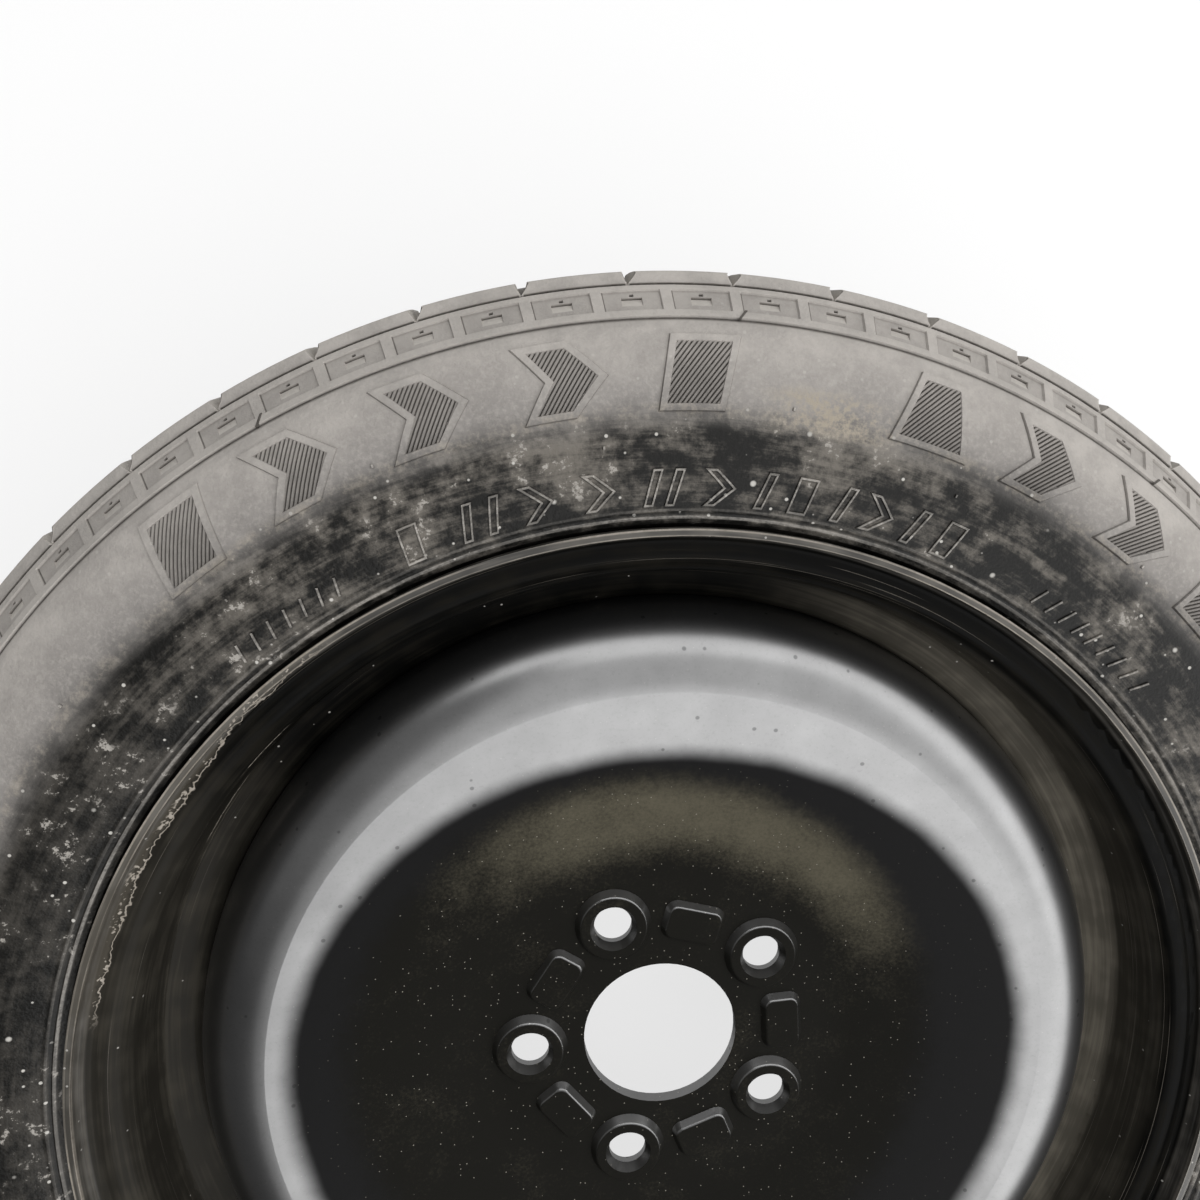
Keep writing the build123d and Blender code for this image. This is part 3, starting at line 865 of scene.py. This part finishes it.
rim_paint = Finish("rim_paint", IOR=1.5, Specular_IOR_Level=0.03, Coat_Roughness=0.16, Coat_IOR=1.6)
film = rim_paint.noise(18, 2, 0.6)
rim_fine = rim_paint.noise(1.6, 1, 0.65)
rim_streak = rim_paint.noise(1.0, 2, 0.6, rim_paint.streaks(75, 2.4))
dust_film = rim_paint.ease(film * 0.5 + rim_streak * 0.5, 0.42, 0.68)
rim_colour = rim_paint.blend(dust_film, paint_black, film_brown)
on_barrel = rim_paint.ease(rim_paint.radius, barrel_start, barrel_full)
dusty_barrel = rim_paint.near(rim_paint.angle, dusty_side, 35, 75) * on_barrel
dusty_barrel = dusty_barrel | rim_paint.near(rim_paint.angle, other_side, 20, 40) * 0.22
rim_colour = rim_paint.blend(dusty_barrel * (0.55 + dust_film * 0.45), rim_colour, barrel_dust)

peel_line = rim_paint.radius - peel_radius - rim_paint.ease(rim_paint.angle, -54, -42) * peel_climb
ragged = (rim_paint.noise(11, 3, 0.7) - 0.5) * 8
peeled = rim_paint.near(peel_line + ragged, 0, 0.05, 0.32)
flaking = rim_paint.ease(film * 0.5 + rim_fine * 0.5, 0.55, 0.60)
blobs = rim_paint.near(peel_line + ragged, 0.9, 0.6, 1.6) * flaking
on_curl = rim_paint.ease(rim_paint.height, curl_foot, curl_full)
peel_reach = rim_paint.near(rim_paint.angle, peel_side, 19, 24) * on_curl
chips = (peeled | blobs) * peel_reach
dull = rim_paint.ease(peel_line + ragged, 0, 1.5) * peel_reach
rim_colour = rim_paint.blend(dull, rim_colour, dull_paint)
print("rim paint has", len(rim_paint.nodes.nodes), "nodes for dust and peeling")

# %% [markdown]
# The rest of the rim's wear is finer. Dust greys the lip, and scratches run round it. Thin pale
# lines in the primer's colour along both edges of the lip are a painted highlight. A scratch could
# be a thin mesh, but noise that is stretched along the ring draws as many as are wanted, and only
# the two long ones are placed one by one.

# %% Rim paint: lip and scratches
lip_dust, speck_grey = (0.140, 0.131, 0.117, 1), (0.5, 0.48, 0.45, 1)
primer_dark, primer_pale = (0.22, 0.19, 0.15, 1), (0.46, 0.42, 0.37, 1)
lip_start, lip_full, lip_inner, lip_outer = 212.5, 214, 214.5, 216.6
lip_foot, lip_top = 59, 60
scratch_radius = 204
upper_height, upper_side = 47.4, -47
lower_height, lower_side = 30.2, -57.5

on_lip = rim_paint.ease(rim_paint.radius, lip_start, lip_full)
rim_colour = rim_paint.blend(on_lip * (0.3 + dust_film * 0.7), rim_colour, lip_dust)
# Painted highlight: thin pale lines along both edges of the lip's top, in the primer's colour.
outer_edge = rim_paint.near(rim_paint.radius, lip_outer, 0.1, 0.5)
inner_edge = rim_paint.near(rim_paint.radius, lip_inner, 0.05, 0.4)
on_lip_top = rim_paint.ease(rim_paint.height, lip_foot, lip_top)
lip_highlight = (outer_edge | inner_edge) * on_lip_top * rim_paint.ease(rim_streak, 0.3, 0.6)

scratch = rim_paint.noise(1.0, 2, 0.5, rim_paint.streaks(150, 0.55))
scratched = rim_paint.ease(scratch, 0.68, 0.74) * rim_paint.near(rim_paint.radius, scratch_radius, 8, 12)
upper_arc = rim_paint.near(rim_paint.height, upper_height, 0.1, 0.5)
upper_arc = upper_arc * rim_paint.near(rim_paint.angle, upper_side, 2, 4)
lower_arc = rim_paint.near(rim_paint.height, lower_height, 0.2, 0.9)
lower_arc = lower_arc * rim_paint.near(rim_paint.angle, lower_side, 3, 5)
scratched = scratched * 0.3 | (upper_arc | lower_arc) * rim_paint.ease(rim_fine, 0.3, 0.5) * 0.8
bare = rim_paint.blend(rim_fine, primer_dark, primer_pale)
rim_colour = rim_paint.blend(chips | scratched | lip_highlight * 0.8, rim_colour, bare)
rim_speck = rim_paint.specks(6, 0.5, 0.4)
rim_colour = rim_paint.blend(rim_speck * 0.7, rim_colour, speck_grey)

rim_gloss = (1 - chips) * (0.03 + on_lip * 0.45) * (1 - dust_film * 0.6)
rim_bump = rim_paint.bump(rim_paint.noise(7, 0) * 0.05)
rim_rough = 0.42 + dust_film * 0.25 + chips * 0.2
rim_paint.wear(Base_Color=rim_colour, Roughness=rim_rough, Coat_Weight=rim_gloss, Normal=rim_bump)
print("rim paint has", len(rim_paint.nodes.nodes), "nodes in all")

# %% [markdown]
# The disc is dirty round the hub, where olive soil with grit in it lies over the black. The soil's
# middle is a little off the axis. On the far slope the soil is paler, partly from the soil and
# partly as painted sheen where the slope catches light from above. Dirt could be painted by hand
# on an image, but a radius with noise in it gives the same ragged limit.

# %% Disc paint: soil and painted sheen
gloss_black, grit_pale = (0.005, 0.005, 0.0052, 1), (0.34, 0.32, 0.27, 1)
soil_dark, soil_olive = (0.008, 0.0076, 0.006, 1), (0.104, 0.094, 0.067, 1)
soil_left, soil_near = 8, 2
soil_full, soil_end = 108, 126
slope_radius, slope_side = 103, 14

disc_paint = Finish("disc_paint", IOR=1.5, Specular_IOR_Level=0.08, Coat_Roughness=0.29, Coat_IOR=3.0)
disc_cloud = disc_paint.noise(22, 3, 0.6)
disc_fine = disc_paint.noise(1.3, 2, 0.7)
disc_ragged = (disc_cloud - 0.5) * 10 + (disc_paint.noise(4, 2, 0.7) - 0.5) * 9
soil_x = disc_paint.x + soil_left
soil_y = disc_paint.y + soil_near
soil_radius = disc_paint.sum("SQRT", soil_x * soil_x + soil_y * soil_y)
soiled = 1 - disc_paint.ease(soil_radius + disc_ragged, soil_full, soil_end)
# The far slope's soil is paler: partly soil, partly painted sheen where the slope catches light.
slope_soil_and_sheen = disc_paint.near(disc_paint.radius, slope_radius, 6, 32)
slope_soil_and_sheen = slope_soil_and_sheen * disc_paint.near(disc_paint.angle, slope_side, 25, 80)
soil_tone = disc_paint.ease(disc_cloud * 0.3 + disc_fine * 0.3 + slope_soil_and_sheen * 0.35, 0.30, 0.78)
soil_colour = disc_paint.blend(soil_tone, soil_dark, soil_olive)
disc_colour = disc_paint.blend(soiled, gloss_black, soil_colour)
grit = disc_paint.specks(2.6, 0.3, 0.5) * (0.2 + soiled * 0.65)
disc_colour = disc_paint.blend(grit * 0.8, disc_colour, grit_pale)
print("disc paint has", len(disc_paint.nodes.nodes), "nodes for soil")

# %% [markdown]
# The disc's gloss shows only where the paint is clean: on the dome, outside a limit that was wiped
# or rained clean, and on the pressed edges near the hub. The limit lies nearest the hub on the far
# side, so its radius grows with the angle to either hand. The edges are found by their normals,
# which saves choosing their faces one by one.

# %% Disc paint: gloss
wiped_far, wiped_growth = 126, 18
edges_end, edges_full = 74, 70

normal = disc_paint.node("ShaderNodeNewGeometry", out="Normal")
facing_up = disc_paint.node("ShaderNodeSeparateXYZ", None, {0: normal}, "Z")
facing_far = disc_paint.node("ShaderNodeSeparateXYZ", None, {0: normal}, "Y")
to_either_hand = disc_paint.ease(disc_paint.sum("ABSOLUTE", disc_paint.angle), 0, 90)
wiped_radius = wiped_far + to_either_hand * wiped_growth
on_dome = disc_paint.ease(disc_paint.radius - wiped_radius + (disc_cloud - 0.5) * 2, -2.7, 7.3)
sloping = 1 - disc_paint.ease(facing_up, 0.80, 0.99)
on_edges = sloping * disc_paint.ease(disc_paint.radius, edges_end, edges_full)
on_edges = on_edges * (0.06 + disc_paint.ease(facing_far, -0.1, 0.35) * 0.74)
haze = 0.75 + disc_cloud * 0.4 - disc_paint.ease(disc_fine, 0.5, 0.8) * 0.1
droplet = disc_paint.specks(7, 1.0, 0.5)
disc_gloss = (on_dome | on_edges) * haze * (1 - droplet * 0.45)
disc_bump = disc_paint.bump(disc_paint.noise(4, 1) * 0.014)
disc_rough = 0.4 + soiled * 0.3 + disc_fine * 0.1
disc_paint.wear(Base_Color=disc_colour, Roughness=disc_rough, Coat_Weight=disc_gloss, Normal=disc_bump)
print("disc paint has", len(disc_paint.nodes.nodes), "nodes in all")

# %% [markdown]
# The small pieces keep their solids: welds behind the disc, the rubber valve, its brass stem and
# core, and the plastic cap. Each still gets grain and wear at its own scale, because a flat colour
# never looks like a thing that was made. They could have a node tree each, but all follow one
# recipe, so a function makes them: clouds of a worn colour over a clean one, rougher where worn.

# %% Recipe for small finishes
def mottled(name, clean, worn, clouds, limits, rough, relief=None, **constants):
    """Worn clouds over a clean colour, and a fine relief that is given by its size and height."""
    finish = Finish(name, **constants)
    share = finish.ease(finish.noise(*clouds), *limits)
    clean_rough, worn_gain = rough
    finish.wear(Base_Color=finish.blend(share, clean, worn), Roughness=clean_rough + share * worn_gain)
    if relief:
        size, height = relief
        finish.wear(Normal=finish.bump(finish.noise(size) * height))
    return finish


print("recipe ready")

# %% [markdown]
# A weld bead is a row of ripples that cooled one after another, painted over and rusty in places. A
# sine along the ring bumps the surface in the same rhythm, and noise in it keeps the ripples from
# looking ruled.

# %% Weld paint
ripple_rate, ripple_height = 9.0, 0.35
weld_paint = mottled(
    "weld_paint",
    clean=(0.012, 0.012, 0.012, 1),
    worn=(0.07, 0.045, 0.03, 1),
    clouds=(4, 4),
    limits=(0.4, 0.7),
    rough=(0.5, 0.2),
    IOR=1.5,
    Coat_Weight=0.4,
    Coat_Roughness=0.25,
)
ripple = weld_paint.sum("SINE", weld_paint.angle * ripple_rate + weld_paint.noise(6) * 5)
weld_paint.wear(Normal=weld_paint.bump(ripple * ripple_height))
print("weld paint has", len(weld_paint.nodes.nodes), "nodes")

# %% [markdown]
# The valve is a rubber body round a brass stem, and a plastic cap closes it. Rubber and plastic are
# dull and gather dust. Brass and the spring's steel are metals, so their colour is in the
# reflection, and tarnish makes it darker and duller. The seals are dark red rubber.

# %% Valve finishes
valve_rubber = mottled(
    "valve_rubber",
    clean=(0.014, 0.014, 0.014, 1),
    worn=(0.075, 0.07, 0.062, 1),
    clouds=(3.5, 5, 0.65),
    limits=(0.42, 0.72),
    rough=(0.5, 0.25),
    relief=(0.5, 0.04),
    IOR=1.48,
)
brass = mottled(
    "brass",
    clean=(0.72, 0.52, 0.24, 1),
    worn=(0.40, 0.27, 0.12, 1),
    clouds=(1.4, 5, 0.65),
    limits=(0.4, 0.7),
    rough=(0.26, 0.25),
    relief=(0.3, 0.008),
    Metallic=1.0,
)
gasket = mottled(
    "gasket",
    clean=(0.05, 0.012, 0.01, 1),
    worn=(0.11, 0.03, 0.024, 1),
    clouds=(0.8, 4),
    limits=(0.35, 0.7),
    rough=(0.55, 0.2),
    relief=(0.25, 0.01),
    IOR=1.45,
)
spring_steel = mottled(
    "spring_steel",
    clean=(0.58, 0.57, 0.55, 1),
    worn=(0.36, 0.34, 0.32, 1),
    clouds=(0.9, 4),
    limits=(0.35, 0.7),
    rough=(0.24, 0.22),
    Metallic=1.0,
)
cap_plastic = mottled(
    "cap_plastic",
    clean=(0.012, 0.012, 0.013, 1),
    worn=(0.055, 0.053, 0.05, 1),
    clouds=(1.8, 5, 0.7),
    limits=(0.5, 0.72),
    rough=(0.36, 0.3),
    relief=(0.35, 0.012),
    IOR=1.47,
)
print("valve finishes ready")

# %% [markdown]
# The finishes go onto the solids by name. Only materials are changed here, never a vertex, so the
# solids stay exactly where the frame put them.

# %% Dress the solids
finishes = {
    "rim": rim_paint,
    "wheel_disc": disc_paint,
    "disc_welds": weld_paint,
    "valve_body": valve_rubber,
    "valve_stem": brass,
    "core_plug": brass,
    "core_barrel": brass,
    "core_pin": brass,
    "pin_cup": brass,
    "core_gasket": gasket,
    "cup_seal": gasket,
    "cap_seal": gasket,
    "core_spring": spring_steel,
    "valve_cap": cap_plastic,
}
for node_name, finish in finishes.items():
    node_mesh = frame["nodes"][node_name].data
    node_mesh.materials.clear()
    node_mesh.materials.append(finish.material)
print("dressed", len(finishes), "solids")
